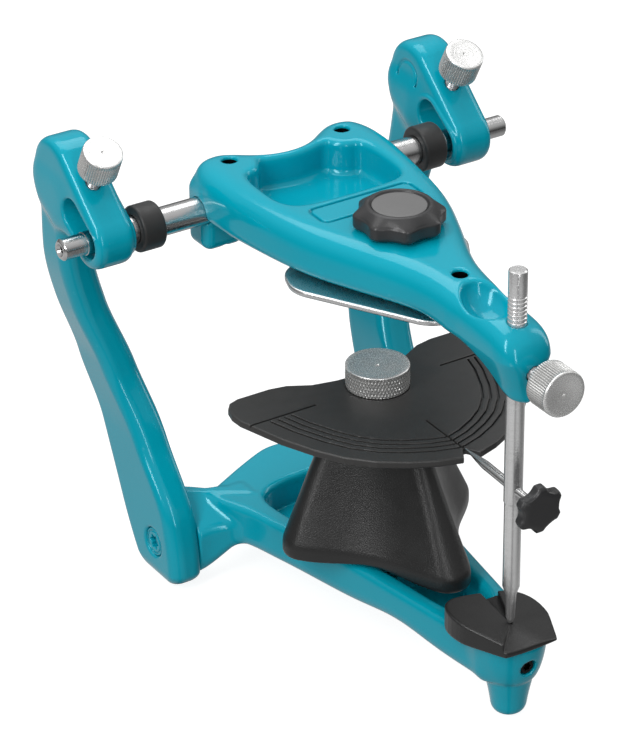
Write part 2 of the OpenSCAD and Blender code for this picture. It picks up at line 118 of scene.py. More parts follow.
def seg_dist(x, y, a, b):
    """Distance to the straight piece from a to b."""
    ex, ey = b[0] - a[0], b[1] - a[1]
    t = np.clip(((x - a[0]) * ex + (y - a[1]) * ey) / (ex * ex + ey * ey + 1e-12), 0, 1)
    return np.hypot(x - a[0] - t * ex, y - a[1] - t * ey)


def box_dist(x, y, z, lo, hi, r):
    """Distance to a box with edges of radius r."""
    c = [(a + b) / 2 for a, b in zip(lo, hi)]
    s = [(b - a) / 2 - r for a, b in zip(lo, hi)]
    q = [np.abs(v - m) - h for v, m, h in zip((x, y, z), c, s)]
    out = np.sqrt(sum(np.maximum(v, 0) ** 2 for v in q))
    return out + np.minimum(np.maximum(np.maximum(q[0], q[1]), q[2]), 0) - r


def ease(x, xs, ys):
    """Smooth curve through points (monotone cubic)."""
    xs, ys = np.asarray(xs, float), np.asarray(ys, float)
    h, d = np.diff(xs), np.diff(ys) / np.diff(xs)
    m = np.zeros(len(xs))
    m[0], m[-1] = d[0], d[-1]
    same = d[:-1] * d[1:] > 0
    m[1:-1] = np.where(same, 2 * d[:-1] * d[1:] / np.where(same, d[:-1] + d[1:], 1), 0)
    x = np.clip(x, xs[0], xs[-1])
    i = np.clip(np.searchsorted(xs, x, side="right") - 1, 0, len(xs) - 2)
    t = (x - xs[i]) / h[i]
    a = (1 + 2 * t) * (1 - t) ** 2
    b = t * (1 - t) ** 2
    c = t * t * (3 - 2 * t)
    e = t * t * (t - 1)
    return a * ys[i] + b * h[i] * m[i] + c * ys[i + 1] + e * h[i] * m[i + 1]


def surface(field, lo, hi, step):
    """Closed mesh of the zero level of a field, by surface nets and two pulls onto the field."""
    probe, least_slope, most_pull = 0.05, 0.25, 0.4
    lo, hi = np.asarray(lo, float) - 2 * step, np.asarray(hi, float) + 2 * step
    n = np.ceil((hi - lo) / step).astype(int) + 1
    axes = [lo[i] + step * np.arange(n[i]) for i in range(3)]
    grids = np.meshgrid(*axes, indexing="ij")
    v = field(*grids)
    neg = v < 0
    cells = tuple(m - 1 for m in n)
    total, count = np.zeros(cells + (3,), np.float32), np.zeros(cells, np.int16)

    def corner(*shift):
        return tuple(slice(first, first + size) for first, size in zip(shift, cells))

    for axis in range(3):
        others = [a for a in range(3) if a != axis]
        for u in (0, 1):
            for w in (0, 1):
                d0 = [0, 0, 0]
                d0[others[0]], d0[others[1]] = u, w
                d1 = list(d0)
                d1[axis] = 1
                a, b = v[corner(*d0)], v[corner(*d1)]
                hit = neg[corner(*d0)] != neg[corner(*d1)]
                t = np.where(hit, a / np.where(hit, a - b, 1), 0)
                total[..., axis] += np.where(hit, t, 0)
                total[..., others[0]] += np.where(hit, u, 0)
                total[..., others[1]] += np.where(hit, w, 0)
                count += hit
    used = count > 0
    index = np.full(cells, -1, np.int64)
    index[used] = np.arange(used.sum())
    base = np.argwhere(used).astype(float)
    pts = lo + step * (base + total[used] / count[used][:, None])
    faces = []
    for axis in range(3):
        o1, o2 = (axis + 1) % 3, (axis + 2) % 3
        sl = [slice(1, cells[0]), slice(1, cells[1]), slice(1, cells[2])]
        sl[axis] = slice(0, cells[axis])
        a = neg[tuple(sl)]
        sl[axis] = slice(1, cells[axis] + 1)
        b = neg[tuple(sl)]
        edge = np.argwhere(a != b)
        flip = a[tuple(edge.T)]
        off = np.array([1, 1, 1])
        off[axis] = 0
        c = edge + off
        e1, e2 = np.zeros(3, int), np.zeros(3, int)
        e1[o1], e2[o2] = 1, 1
        q = [index[tuple((c - s).T)] for s in (e1 + e2, e2, 0 * e1, e1)]
        quad = np.stack(q, 1)
        quad[~flip] = quad[~flip][:, ::-1]
        faces.append(quad)
    faces = np.vstack(faces)
    for _ in range(2):
        f0 = field(*pts.T)
        rise = [field(*(pts + e).T) - field(*(pts - e).T) for e in probe * np.eye(3)]
        g = np.stack(rise, 1) / (2 * probe)
        g2 = np.maximum((g * g).sum(1), least_slope)
        pts -= np.clip(f0 / g2, -step * most_pull, step * most_pull)[:, None] * g
    return pts, faces


# ---------------------------------------------------------------- mesh helpers


def piece(name, pts, faces, body, material, node, sharp=None):
    """Mesh that rides on a body and stands in for a CAD node."""
    mesh = bpy.data.meshes.new(name)
    world = np.asarray(pts, float) * MM + HINGE
    mesh.from_pydata(world.tolist(), [], [tuple(int(i) for i in f) for f in faces])
    mesh.validate()
    mesh.update()
    mesh.shade_smooth()
    if sharp:
        mesh.set_sharp_from_angle(angle=math.radians(sharp))
    obj = bpy.data.objects.new(name, mesh)
    bpy.context.scene.collection.objects.link(obj)
    mesh.materials.append(material)
    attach(obj, body)
    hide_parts(node)
    return obj


def turned(profile, n=96, ripple=None):
    """Surface of revolution about +Z from (r, z) points that start and end on the axis."""
    prof = np.asarray(profile, float)
    ang = np.arange(n) * 2 * math.pi / n
    pts, faces, rings = [], [], []
    for r, z in prof:
        if r < 1e-9:
            rings.append([len(pts)])
            pts.append((0, 0, z))
            continue
        rr = np.full(n, r) if ripple is None else ripple(r, z, ang)
        rings.append(list(range(len(pts), len(pts) + n)))
        pts.extend(zip(rr * np.cos(ang), rr * np.sin(ang), np.full(n, z)))
    for a, b in zip(rings, rings[1:]):
        for k in range(n):
            m = (k + 1) % n
            if len(a) == 1:
                faces.append((a[0], b[m], b[k]))
            elif len(b) == 1:
                faces.append((a[k], a[m], b[0]))
            else:
                faces.append((a[k], a[m], b[m], b[k]))
    return np.array(pts), faces


def fillet(profile, r, steps=3):
    """Rounds the inner corners of a turned profile."""
    p = [np.asarray(q, float) for q in profile]
    out = [p[0]]
    for a, b, c in zip(p, p[1:], p[2:]):
        u, w = a - b, c - b
        lu, lw = np.linalg.norm(u), np.linalg.norm(w)
        m = min(r, 0.45 * lu, 0.45 * lw)
        s, t = b + u / lu * m, b + w / lw * m
        for k in range(steps + 1):
            f = k / steps
            out.append((1 - f) ** 2 * s + 2 * f * (1 - f) * b + f * f * t)
    out.append(p[-1])
    return np.array(out)


def spun(pts, z_dir, origin):
    """Places a part made about +Z along another axis."""
    rot = Vector(z_dir).to_track_quat("Z", "Y").to_matrix()
    return pts @ np.array(rot).T + np.asarray(origin, float)


def flip_x(pts, faces):
    """The same mesh on the other side of the mid-plane."""
    q = pts.copy()
    q[:, 0] *= -1
    return q, [tuple(reversed([int(i) for i in f])) for f in faces]


# ---------------------------------------------------------------- materials


class Net:
    """Short-hand for building one node material."""

    def __init__(self, name):
        self.mat = bpy.data.materials.new(name)
        self.mat.use_nodes = True
        self.tree = self.mat.node_tree
        self.bsdf = self.tree.nodes["Principled BSDF"]

    def node(self, kind, **values):
        n = self.tree.nodes.new(kind)
        for key, value in values.items():
            if hasattr(n, key):
                setattr(n, key, value)
            else:
                n.inputs[key.replace("_", " ")].default_value = value
        return n

    def link(self, a, b):
        self.tree.links.new(a, b)

    def place(self):
        return self.node("ShaderNodeTexCoord").outputs["Object"]

    def noise(self, scale, detail, rough=0.5, vector=None):
        n = self.node("ShaderNodeTexNoise", Scale=scale, Detail=detail, Roughness=rough)
        self.link(vector or self.place(), n.inputs["Vector"])
        return n.outputs["Fac"]

    def range(self, value, a, b, c, d):
        n = self.node("ShaderNodeMapRange")
        for key, v in zip(("From Min", "From Max", "To Min", "To Max"), (a, b, c, d)):
            n.inputs[key].default_value = v
        self.link(value, n.inputs["Value"])
        return n.outputs["Result"]

    def mix(self, fac, a, b):
        n = self.node("ShaderNodeMix", data_type="RGBA")
        self.link(fac, n.inputs[0])
        for sock, v in ((n.inputs[6], a), (n.inputs[7], b)):
            if isinstance(v, tuple):
                sock.default_value = (*v, 1)
            else:
                self.link(v, sock)
        return n.outputs[2]

    def math(self, op, a, b=None):
        n = self.node("ShaderNodeMath", operation=op)
        for i, v in enumerate((a, b)):
            if v is None:
                continue
            if isinstance(v, (int, float)):
                n.inputs[i].default_value = v
            else:
                self.link(v, n.inputs[i])
        return n.outputs[0]

    def bump(self, height, strength, distance):
        n = self.node("ShaderNodeBump", Strength=strength, Distance=distance)
        self.link(height, n.inputs["Height"])
        if self.bsdf.inputs["Normal"].is_linked:
            self.link(self.bsdf.inputs["Normal"].links[0].from_socket, n.inputs["Normal"])
        self.link(n.outputs[0], self.bsdf.inputs["Normal"])

    def edges(self, low, high):
        return self.range(self.node("ShaderNodeNewGeometry").outputs["Pointiness"], low, high, 0, 1)

    def set(self, **values):
        for key, v in values.items():
            sock = self.bsdf.inputs[key.replace("_", " ")]
            if isinstance(v, (int, float)):
                sock.default_value = v
            elif isinstance(v, tuple):
                sock.default_value = (*v, 1)
            else:
                self.link(v, sock)


def enamel():
    """Glossy teal enamel, a little paler along its edges."""
    m = Net("teal_enamel")
    colour = m.mix(m.noise(28, 3), (0.0, 0.3, 0.4), (0.001, 0.335, 0.445))
    worn = m.math("MULTIPLY", m.edges(0.53, 0.66), m.range(m.noise(900, 4), 0.45, 0.7, 0, 0.35))
    m.set(Base_Color=m.mix(worn, colour, (0.16, 0.5, 0.55)))
    m.set(Roughness=m.range(m.noise(140, 4), 0.3, 0.7, 0.12, 0.2), IOR=1.42)
    m.set(Coat_Weight=0.28, Coat_Roughness=0.03, Specular_Tint=(0.35, 0.9, 1.0))
    m.bump(m.noise(320, 2), 0.05, 0.0004)
    return m.mat


def metal(name, colour, rough, turned_lines=0.0, aniso=0.0, shine=1.0):
    """Steel; turned faces carry fine concentric lines and a stretched highlight."""
    drift, lines_per_mm = 0.06, 9.0
    m = Net(name)
    loc = m.node("ShaderNodeAttribute", attribute_name="loc").outputs["Vector"]
    spots = m.noise(0.6, 4, vector=loc)
    dark = tuple(c * (1 - drift) for c in colour)
    m.set(Base_Color=m.mix(spots, colour, dark), Metallic=shine)
    m.set(Roughness=m.range(m.noise(3.0, 5, vector=loc), 0.3, 0.7, rough * 0.8, rough * 1.25))
    if turned_lines:
        sep = m.node("ShaderNodeSeparateXYZ")
        m.link(loc, sep.inputs[0])
        squares = [m.math("POWER", sep.outputs[i], 2) for i in (0, 1)]
        radius = m.math("SQRT", m.math("ADD", *squares))
        parts = [m.math("MULTIPLY", v, lines_per_mm) for v in (radius, sep.outputs[2])]
        line = m.math("ADD", *parts)
        n = m.node("ShaderNodeTexNoise", noise_dimensions="1D", Scale=1.0, Detail=4.0)
        m.link(line, n.inputs["W"])
        m.bump(n.outputs["Fac"], turned_lines, 0.00008)
    if aniso:
        tan = m.node("ShaderNodeAttribute", attribute_name="tan").outputs["Vector"]
        spaces = {"convert_from": "OBJECT", "convert_to": "WORLD"}
        turn = m.node("ShaderNodeVectorTransform", vector_type="VECTOR", **spaces)
        m.link(tan, turn.inputs[0])
        m.link(turn.outputs[0], m.bsdf.inputs["Tangent"])
        m.set(Anisotropic=aniso)
    m.bump(m.noise(6.0, 3, vector=loc), 0.03, 0.00005)
    return m.mat


def cad_steel(name, colour, rough):
    """Plain steel for threads and for CAD solids, which carry no local coordinates."""
    m = Net(name)
    m.set(Base_Color=m.mix(m.noise(500, 4), colour, tuple(c * 0.85 for c in colour)), Metallic=1.0)
    m.set(Roughness=m.range(m.noise(1500, 4), 0.3, 0.7, rough * 0.8, rough * 1.2))
    m.bump(m.noise(2500, 3), 0.06, 0.0001)
    return m.mat


def plastic(name, colour, rough, grain, grain_scale):
    """Black moulded plastic with a fine grain; edges rubbed slightly paler."""
    m = Net(name)
    pale = tuple(min(1, c * 3 + 0.03) for c in colour)
    tone = m.mix(m.noise(60, 3), colour, tuple(c * 1.35 for c in colour))
    worn = m.math("MULTIPLY", m.edges(0.52, 0.62), m.range(m.noise(700, 4), 0.3, 0.7, 0.2, 0.25))
    m.set(Base_Color=m.mix(worn, tone, pale))
    m.set(Roughness=m.range(m.noise(220, 4), 0.3, 0.7, rough * 0.88, rough * 1.12), IOR=1.48)
    m.bump(m.noise(grain_scale, 3, 0.6), grain, 0.0002)
    return m.mat


def rubber():
    """Matt black rubber of the collars."""
    m = Net("collar_rubber")
    m.set(Base_Color=m.mix(m.noise(300, 4), (0.009, 0.009, 0.009), (0.014, 0.014, 0.014)))
    m.set(Roughness=m.range(m.noise(500, 4), 0.3, 0.7, 0.42, 0.58), Sheen_Weight=0.1)
    m.bump(m.noise(1800, 3), 0.08, 0.0001)
    return m.mat


ENAMEL = enamel()
STEEL = metal("polished_steel", (0.62, 0.62, 0.62), 0.16, 0.25, 0.5)
ROD = metal("ground_steel", (0.82, 0.82, 0.82), 0.2, 0.35, 0.5, shine=0.85)
NICKEL = metal("turned_nickel", (0.82, 0.82, 0.81), 0.26, 0.4, 0.8, shine=0.7)
KNURL = metal("knurled_nickel", (0.64, 0.64, 0.63), 0.25, shine=0.75)
PLATE = metal("plate_steel", (0.72, 0.72, 0.72), 0.3, 0.2, 0.0)
STUD = cad_steel("stud_steel", (0.55, 0.55, 0.56), 0.35)
OXIDE = cad_steel("black_oxide", (0.03, 0.03, 0.032), 0.42)
BLACK = plastic("black_plastic", (0.014, 0.014, 0.014), 0.33, 0.35, 2600)
KNOB = plastic("knob_plastic", (0.024, 0.024, 0.025), 0.36, 0.1, 1800)
CAP = plastic("cap_plastic", (0.12, 0.12, 0.12), 0.5, 0.12, 2400)
SATIN = plastic("satin_black_plate", (0.026, 0.0255, 0.025), 0.42, 0.16, 3200)
RUBBER = rubber()

# ---------------------------------------------------------------- castings

# Upper frame: heights of its top and underside along Y, taper of the nose against height
TOP_Y = [-118, -116.6, -114.4, -111, -106, -95, -83, -70, -55, -20, 0, 12]
TOP_Z = [-1, 2.2, 4.9, 6.4, 7.2, 8.1, 9.3, 10.2, 10.9, 11.9, 12.4, 12.4]
UNDER_Y = [-114, -111, -108, -106, -103, -97, -90, -82, -76, 12]
NOSE_LOW = -16.2
UNDER_Z = [NOSE_LOW, -15.7, -13.5, -11, -8.4, -5.7, -4.3, -3, -2.6, -2.6]
TAPER_Z = [NOSE_LOW, -10.6, -6, -1.5]
TAPER = [4.5, 3.1, 1.5, 0]
FRAME_PLAN = smooth_outline(mirrored([
    (0, 0.8), (5, 1.6), (9, 3.6), (13, 6.6), (17, 8.8), (22, 8.8), (26, 6.6), (28.2, 1), (28.6, -6),
    (28.2, -14), (27, -24), (24.9, -37), (22.4, -47), (17, -60), (12.4, -70), (9.6, -78),
    (8.4, -86), (8.0, -96), (8.0, -104), (8.0, -110), (7.4, -114.6), (4, -117.2), (0, -117.3)]), 2)
TRAY = smooth_outline(mirrored([
    (0, -4.6), (6, -3.6), (10.5, -2.4), (12, -5.2), (14.2, -7.4), (17.8, -8.2), (19.2, -12),
    (19.4, -20), (18.9, -26.6), (16, -30.8), (9, -31.7), (0, -31.9)]), 2)
FRAME_BORES = ((18, 0.65, 4.2), (0, -82.9, -99))  # place and floor; the front one goes through
FRAME_BORE_R = 2.15


def plan(outline, x, y):
    """Distance to an upright outline, worked out once per column of a grid."""
    if x.ndim == 3:
        return poly_dist(outline, x[:, :, 0], y[:, :, 0])[:, :, None]
    return poly_dist(outline, x, y)


def round_rect(x, y, hx, y0, y1, r):
    """Distance to a rectangle with rounded corners."""
    qx, qy = np.abs(x) - hx + r, np.abs(y - (y0 + y1) / 2) - (y1 - y0) / 2 + r
    return np.hypot(np.maximum(qx, 0), np.maximum(qy, 0)) + np.minimum(np.maximum(qx, qy), 0) - r


def upper_field(x, y, z):
    """Upper frame."""
    ax = np.abs(x)
    top = ease(y, TOP_Y, TOP_Z)
    taper = ease(z, TAPER_Z, TAPER)
    nose = smax(ax - 8 + taper, -117.3 + 0.45 * taper - y, 9)
    d = smax(plan(FRAME_PLAN, x, y), nose - 30 * np.clip((y + 94) / 30, 0, 1) ** 2, 1)
    d = smax(d, z - top, 7)
    d = smax(d, ease(y, UNDER_Y, UNDER_Z) - z, 4)
    d = smax(d, NOSE_LOW - z, 3)
    shaft_boss = box_dist(ax, y, z, (15.2, -3, -12), (27.8, 7.6, 7), 2.8)
    d = smin(d, shaft_boss, 2.2)
    tray = smax(plan(TRAY, x, y), 2.4 - z, 2.6)
    d = less(d, tray, 2.4)
    bowl = np.sqrt((x / 6.6) ** 2 + ((y + 96.4) / 9.3) ** 2 + ((z - 9.2) / 8.4) ** 2)
    d = less(d, (bowl - 1) * 6.6, 1.1)
    clamp = np.hypot(x, y - CLAMP_Y)
    knob_seat = np.maximum(clamp - 12.6, 11.05 - z)
    d = less(d, knob_seat, 0.3)
    label = np.abs(round_rect(x, y, 15.7, -43.6, -35, 2.2)) - 0.4
    d = less(d, np.maximum(label, top - 0.9 - z))
    for bx, by, floor in FRAME_BORES:
        bore = np.hypot(ax - bx, y - by) - FRAME_BORE_R
        d = less(d, np.maximum(bore, floor - z), 0.7)
    d = less(d, clamp - M5_CLEAR)
    d = less(d, np.maximum(clamp - 6.1, z - 1.1))
    shaft = np.hypot(y, z) - 4.05
    d = less(d, shaft)
    grub_screw = np.hypot(ax - 21.5, y) - M4_BORE
    d = less(d, np.maximum(grub_screw, z))
    d = less(d, np.hypot(x, y - PIN_Y) - 2.56, 0.4)
    pin_lock = np.hypot(x, z - PIN_LOCK_Z) - M4_CLEAR
    return less(d, np.maximum(pin_lock, y - PIN_Y))


# Post: middle, rear edge, front edge and edge radius of its shank against height
SHANK_Z = [FOOT_Z, -105, -90, -70, -50, -30, -12, 7]
SHANK_X = [41, 41, 41, 41.6, 45.2, 51.9, 56.3, 57.4]
SHANK_REAR = [2, 6, 14, 22, 28.2, 28, 25.4, 23]
SHANK_FRONT = [-5, -7.4, -5, 8.4, 19, 22.4, 21, 18.5]
SHANK_R = [3.6, 5.1, 5.2, 5.2, 5.2, 5.2, 5.2, 5.2]
LEAN = 0.95  # makes up for the shank's lean, which stretches its level sections
HEAD_LOW, HEAD_TOP = np.array([0.5, 0.0]), np.array([18.3, 12.9])
SLOT_ANGLE = math.radians(34)
LOCK_ANGLE = math.radians(28)
LOCK_POINT = np.array([HEAD_X, -1.1, 25.7])
LOCK_DIR = np.array([0, -math.sin(LOCK_ANGLE), math.cos(LOCK_ANGLE)])
LOCK_REACH = 16  # from the knob's face to the stud's inner end


def slot_dist(y, z):
    """Distance to the middle line of the condylar slot."""
    c, s = math.cos(SLOT_ANGLE), math.sin(SLOT_ANGLE)
    u, v = y * c + z * s, z * c - y * s
    return np.hypot(u - np.clip(u, -0.2, 9.2), v)


def post_field(x, y, z):
    """Right post with its condylar head."""
    xc, rear, front = (ease(z, SHANK_Z, v) for v in (SHANK_X, SHANK_REAR, SHANK_FRONT))
    b = ease(z, SHANK_Z, SHANK_R)
    corner = b * 0.78
    qx = np.abs(x - xc) - b + corner
    qy = np.abs(y - (rear + front) / 2) - (rear - front) / 2 - b + corner
    shank = np.hypot(np.maximum(qx, 0), np.maximum(qy, 0)) + np.minimum(np.maximum(qx, qy), 0)
    shank = smax((shank - corner) * LEAN, z - 9, 4)
    shank = smax(shank, FOOT_Z - z, 3.2)
    ey, ez = HEAD_TOP - HEAD_LOW
    dy, dz = y - HEAD_LOW[0], z - HEAD_LOW[1]
    t = np.clip((dy * ey + dz * ez) / (ey * ey + ez * ez), 0, 1)
    head = np.hypot(dy - t * ey, dz - t * ez) - 8 - 2 * t
    head = smax(head, np.abs(x - HEAD_X) - 6, 3.2)
    d = smax(smin(head, shank, 7), x - HEAD_X - 6.25, 1.2)
    slot = slot_dist(y, z)
    inner_face = np.abs(x - HEAD_X + 6)
    d = smin(d, smax(slot - 5.9, inner_face - 0.55, 0.5), 0.4)
    ring_mark = np.abs(np.hypot(y - HEAD_TOP[0], z - HEAD_TOP[1]) - 4.6) - 0.35
    d = less(d, np.maximum(ring_mark, inner_face - 0.35))
    d = less(d, slot - 4.4, 0.8)
    p = [v - o for v, o in zip((x, y, z), LOCK_POINT)]
    along = p[1] * LOCK_DIR[1] + p[2] * LOCK_DIR[2]
    off = np.hypot(p[0], p[1] * LOCK_DIR[2] - p[2] * LOCK_DIR[1])
    d = less(d, np.maximum(off - M4_BORE, -LOCK_REACH - along), 0.5)
    screw = np.hypot(y - SCREW_Y, z - SCREW_Z)
    d = less(d, np.maximum(screw - 4.35, PAD_X + 6.4 - x), 0.7)
    d = less(d, screw - M4_BORE)
    return smax(d, PAD_X + 0.03 - x, 0.6)


# Lower frame: outline of its top and of the well between its rails
DECK = smooth_outline(mirrored([
    (0, 10.4), (4, 9.9), (9.5, 7.5), (16, 4.3), (22, 1.1), (28.6, -2.4), (30, -4), (29.6, -7),
    (28.2, -11), (26.4, -15), (24.8, -19), (23.4, -25), (21.2, -34), (19.2, -43.5), (17.3, -53.5),
    (14.7, -70), (12, -88), (10.4, -98), (9.6, -104), (9, -108), (4, -110), (0, -110)]), 2)
WELL = smooth_outline(mirrored([
    (0, -8.6), (8, -9), (14, -10.5), (17.6, -14), (17.8, -20), (16.4, -29), (12, -52), (8.6, -74), (6.8, -88),
    (4, -93), (0, -93.4)]), 2)


def lower_field(x, y, z):
    """Lower frame."""
    ax = np.abs(x)
    d = smax(plan(DECK, x, y), z - DECK_Z, 2.4)
    d = smax(d, -99 + 2.2 * np.exp(-((y + 74) / 15) ** 2) - z, 4.5)
    t = np.clip((ax - 22) / (PAD_X - 22), 0, 1)
    s = t * t * (3 - 2 * t)
    ridge = -3.2 + 0.6 * (ax - 30) - y
    arm_top = z - DECK_Z - 0.6 * s + 0.7 * np.maximum(ridge, 0)
    arm = smax(np.abs(y + 9.6 - 6.1 * s) - 5.4 - 2.4 * s, arm_top, 1.8)
    arm = smax(arm, -98.6 - 8.6 * s - z, 5)
    arm = smax(arm, 19 - ax, 2)
    d = smin(d, arm, 2)
    d = smax(d, ax - PAD_X + 0.05, 0.8)
    well = np.maximum(plan(WELL, x, y), np.minimum(-95 - z, y + 78))
    bridge = np.maximum(np.abs(y - CLAMP_Y) - 9, z + 90.5)
    d = less(d, smax(well, -bridge, 1.5), 2.2)
    r = np.hypot(x, y - PIN_Y)
    block = smax(r - ease(z, [-98.6, -95, -91, -86], [7.0, 8.4, 9.3, 9.9]), z - DECK_Z, 1)
    block = smax(block, -98.4 - z, 1.4)
    foot = smax(r - ease(z, [FOOT_Z, -105, -98.4, -96], [4.5, 5.2, 6.5, 7]), z + 96, 1)
    foot = smax(foot, FOOT_Z - z, 3)
    d = smin(smin(d, block, 3), foot, 0.6)
    d = less(d, np.maximum(r - 5.1, -95 - z))
    set_screw = np.hypot(x, z - SET_SCREW_Z) - 2.35
    d = less(d, np.maximum(set_screw, y - PIN_Y), 0.6)
    d = less(d, np.hypot(x, y - CLAMP_Y) - M5_CLEAR)
    post_screw = np.hypot(y - SCREW_Y, z - SCREW_Z) - M4_BORE
    return less(d, np.maximum(post_screw, PAD_X - 12 - ax))


def triangle_dist(px, py, tri):
    """Signed distance to a triangle whose corners may change from point to point."""
    best, inside = None, True
    for i in range(3):
        (ax, ay), (bx, by) = tri[i], tri[(i + 1) % 3]
        ex, ey = bx - ax, by - ay
        t = np.clip(((px - ax) * ex + (py - ay) * ey) / (ex * ex + ey * ey), 0, 1)
        d = np.hypot(px - ax - t * ex, py - ay - t * ey)
        best = d if best is None else np.minimum(best, d)
        inside = inside & ((ex * (py - ay) - ey * (px - ax)) >= 0)
    return np.where(inside, -best, best)


PLINTH_FEET = np.array([(0.0, -79.0), (23.0, -44.6), (-23.0, -44.6)])
PLINTH_HEAD = np.array([(0.0, -57.0), (6.5, -44.2), (-6.5, -44.2)])
PLINTH_TOP = -42.92
INSERT_R = 4.5
FLANK = 34.0  # radius of the hollow in each flank beside the front foot


def plinth_field(x, y, z):
    """Setup plinth: a straight skirt, then a taper from the feet to the head."""
    h = (z - SEAT_Z) / (PLINTH_TOP - SEAT_Z)
    e = smax((h - 0.1) / 0.9, np.zeros_like(h), 0.03)
    tri = [tuple(a + (b - a) * e for a, b in zip(f, g)) for f, g in zip(PLINTH_FEET, PLINTH_HEAD)]
    reach = 6.4 - 1.4 * e
    d = triangle_dist(x, y, tri) - reach
    for i in (0, 2):
        (ax, ay), (bx, by) = tri[i], tri[(i + 1) % 3]
        ex, ey = bx - ax, by - ay
        side = np.hypot(ex, ey)
        out = reach - (2.8 + 4 * e) * (1 - e) - 0.3 + FLANK
        off_x, off_y = x - (ax + bx) / 2 - ey / side * out, y - (ay + by) / 2 + ex / side * out
        d = less(d, np.hypot(off_x, off_y) - FLANK, 4)
    near = np.min([np.hypot(x - f[0], y - f[1]) for f in PLINTH_FEET], axis=0)
    arch = 1.2 * np.clip((near - 6) / 12, 0, 1) ** 1.4
    d = smax(d * 0.9, SEAT_Z + arch - z, 1.4)
    d = smax(d, z - PLINTH_TOP, 1.0)
    d = less(d, np.maximum(np.hypot(x, y - CLAMP_Y) - INSERT_R, z + 74))
    return less(d, np.maximum(np.hypot(x, y - PLATE_SCREW_Y) - INSERT_R, -53 - z))


TABLE = smooth_outline(mirrored([
    (0, -93.2), (7.7, -93.4), (11.6, -95), (13.6, -97.6), (14.4, -101), (14.2, -105), (13.6, -107.4),
    (11, -112.8), (8.5, -118), (7.8, -118.5), (0, -118.8)]), 1)


def table_field(x, y, z):
    """Incisal table: a flat wing on the left, a raised and dished one on the right, and its peg."""
    d = smax(smax(plan(TABLE, x, y), SEAT_Z - z, 0.8), z + 78.3, 0.8)
    back = y - PIN_Y
    wing = z + 82.75 + 0.2 * x - 0.08 * back
    dish = z + 82.75 - 0.15 * back - 0.003 * x * x
    right = np.minimum(0.675 * back - 0.737 * x, 0.05 * back - x)
    lip = 0.9 * (x - 8.3) - 0.438 * (y + 118.2) + 2.2
    d = smax(d, wing, 0.7)
    d = less(d, np.maximum(right, 1 - dish), 0.4)
    d = less(d, np.maximum(np.maximum(right, lip), -dish), 0.5)
    notch = np.maximum(np.maximum(0.05 * back - x, x - 0.4 * back - 0.4), -84.4 - z)
    d = less(d, notch, 0.3)
    peg = np.maximum(np.hypot(x, back) - 5, np.abs(z + 90.4) - 4.5)
    return smin(d, peg, 0.3)


# name, field, box, grid step, body, material, slot, CAD node
CASTINGS = [
    ("upper_frame_body", upper_field, (-28.8, -117.2, -16.4), (28.8, 9, 12.6), 0.4,
     "upper_member", ENAMEL, "enamel", "upper_frame"),
    ("lower_frame_body", lower_field, (-37.2, -118.6, FOOT_Z), (37.2, 13, -85), 0.5,
     "lower_member", ENAMEL, "enamel", "lower_frame"),
    ("right_post_body", post_field, (36.8, -14, FOOT_Z), (64.4, 35.5, 26), 0.45,
     "lower_member", ENAMEL, "enamel", "right_post"),
    ("plinth_body", plinth_field, (-29, -86, -86), (29, -39, -42.5), 0.5,
     "lower_member", BLACK, "black_plastic", "setup_plinth"),
    ("incisal_table_body", table_field, (-14.8, -119.2, -95.2), (14.8, -93, -77.4), 0.3,
     "lower_member", BLACK, "black_plastic", "incisal_table"),
]


def store_local(obj, pts, tangents=None):
    """Keeps the coordinates, and the tangents of a turned part, for its material."""
    for key, data in (("loc", pts), ("tan", tangents)):
        if data is not None:
            attr = obj.data.attributes.new(key, "FLOAT_VECTOR", "POINT")
            attr.data.foreach_set("vector", np.asarray(data, np.float32).ravel())


def paint_bore_shade(obj, pts, faces):
    """Painted shade: the walls of the upper frame's three small bores are black up to just below each mouth.
    """
    front_mouth, rear_mouth = 8.5, 11.4
    obj.data.materials.append(OXIDE)
    x, y, z = np.asarray(pts)[np.asarray(faces)].mean(axis=1).T
    bore = np.min([np.hypot(np.abs(x) - bore[0], y - bore[1]) for bore in FRAME_BORES], axis=0)
    # painted shade: the bore walls below the mouths get the black material
    bore_shade = (bore < FRAME_BORE_R + 0.25) & (z < np.where(y < -50, front_mouth, rear_mouth))
    obj.data.polygons.foreach_set("material_index", bore_shade.astype(np.int32))


for name, field, lo, hi, step, body, mat, slot, node in CASTINGS:
    pts, faces = surface(field, lo, hi, step * COARSE)
    made = piece(name, pts, faces, body, mat, node)
    store_local(made, pts)
    if node == "upper_frame":
        # painted shade inside the upper frame's bores
        paint_bore_shade(made, pts, faces)
    if node == "right_post":
        pts, faces = flip_x(pts, faces)
        made = piece("left_post_body", pts, faces, body, mat, "left_post")
        store_local(made, pts)

# ---------------------------------------------------------------- turned parts


def lathe(name, profile, axis, origin, body, material, node,
          n=96, ripple=None, ring=False, change=None, sharp=40):
    """Turned piece; a ring's profile closes on itself instead of ending on the axis."""
    pts, faces = turned(profile, n, ripple)
    if ring:
        last = (len(profile) - 1) * n
        for k in range(n):
            m = (k + 1) % n
            faces.append((last + k, last + m, m, k))
    if change is not None:
        pts = change(pts)
    r = np.maximum(np.hypot(pts[:, 0], pts[:, 1]), 1e-6)
    tan = np.stack([-pts[:, 1] / r, pts[:, 0] / r, np.zeros(len(pts))], 1)
    obj = piece(name, spun(pts, axis, origin), faces, body, material, node, sharp=sharp)
    store_local(obj, pts, spun(tan, axis, (0, 0, 0)))
    return obj


def face_materials(obj, second, test):
    """Gives a second material to the faces whose local centre passes the test."""
    obj.data.materials.append(second)
    loc = obj.data.attributes["loc"].data
    for poly in obj.data.polygons:
        c = np.mean([loc[v].vector for v in poly.vertices], axis=0)
        if test(c):
            poly.material_index = 1


def saw(turns):
    """Triangle wave from 0 to 1 and back, once per whole number."""
    return np.abs(turns % 1 - 0.5) * 2


